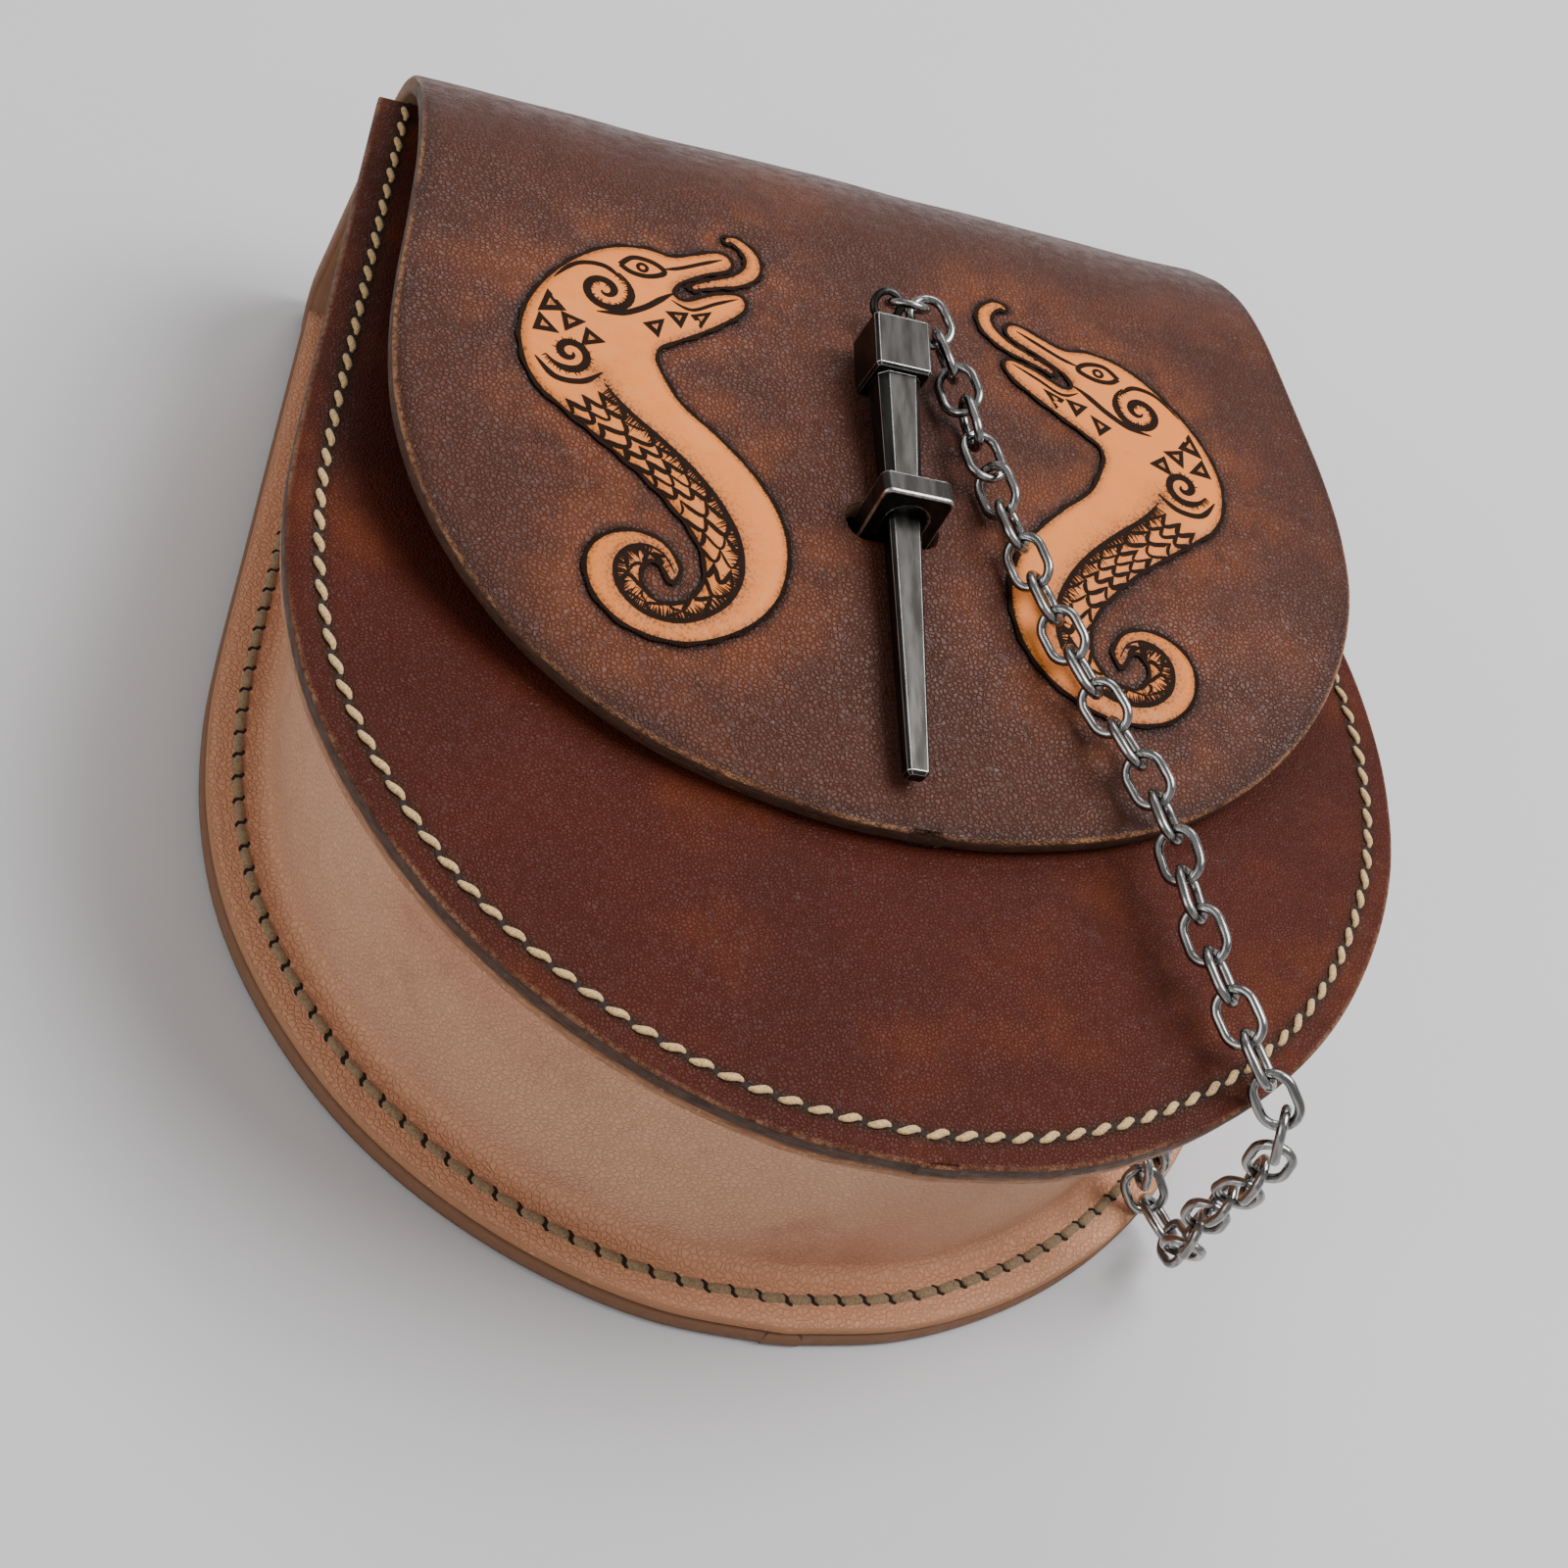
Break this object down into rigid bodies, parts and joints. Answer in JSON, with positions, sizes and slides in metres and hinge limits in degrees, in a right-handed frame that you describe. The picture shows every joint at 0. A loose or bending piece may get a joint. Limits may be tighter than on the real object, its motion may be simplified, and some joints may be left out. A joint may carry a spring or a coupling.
{
  "type": "sporran pouch",
  "caption": "D-shaped leather pouch with a gusset, a flap folded over its top, a steel pin through a keeper as its fastener, and a link chain from the pin to its side",
  "frame": {"origin": "bottom centre of the box round the whole pouch as it lies on its back", "axes": "+Z out of the pouch's front, up as it lies; +Y to the fold over its top; +X to the side on which the chain hangs, its right as seen from the front"},
  "size_m": [0.177, 0.1944, 0.0815],
  "materials": {
    "brown_leather": "dark brown oiled leather, fine grain, satin",
    "red_brown_leather": "red-brown burnished leather with orange glints, satin",
    "natural_leather": "undyed vegetable-tanned leather, pinkish tan, soft satin",
    "dark_steel": "dark antiqued steel, edges polished bright",
    "chain_steel": "bright steel wire, slightly darkened in the crevices"
  },
  "bodies": {
    "root": {"back_and_flap": "brown_leather", "front_panel": "red_brown_leather", "gusset": "natural_leather", "keeper": "dark_steel", "pin": "dark_steel", "pin_ring": "chain_steel", "chain_anchor": "chain_steel", "chain_link_01": "chain_steel", "chain_link_02": "chain_steel", "chain_link_03": "chain_steel", "chain_link_04": "chain_steel", "chain_link_05": "chain_steel", "chain_link_06": "chain_steel", "chain_link_07": "chain_steel", "chain_link_08": "chain_steel", "chain_link_09": "chain_steel", "chain_link_10": "chain_steel", "chain_link_11": "chain_steel", "chain_link_12": "chain_steel", "chain_link_13": "chain_steel", "chain_link_14": "chain_steel", "chain_link_15": "chain_steel", "chain_link_16": "chain_steel", "chain_link_17": "chain_steel", "chain_link_18": "chain_steel", "chain_link_19": "chain_steel", "chain_link_20": "chain_steel", "chain_link_21": "chain_steel", "chain_link_22": "chain_steel", "chain_link_23": "chain_steel", "chain_link_24": "chain_steel", "chain_link_25": "chain_steel", "chain_link_26": "chain_steel", "chain_link_27": "chain_steel", "chain_link_28": "chain_steel", "chain_link_29": "chain_steel", "chain_link_30": "chain_steel", "chain_link_31": "chain_steel", "chain_link_32": "chain_steel", "chain_link_33": "chain_steel", "chain_link_34": "chain_steel", "chain_link_35": "chain_steel", "chain_link_36": "chain_steel", "chain_link_37": "chain_steel", "chain_link_38": "chain_steel", "chain_link_39": "chain_steel"}
  },
  "joints": []
}
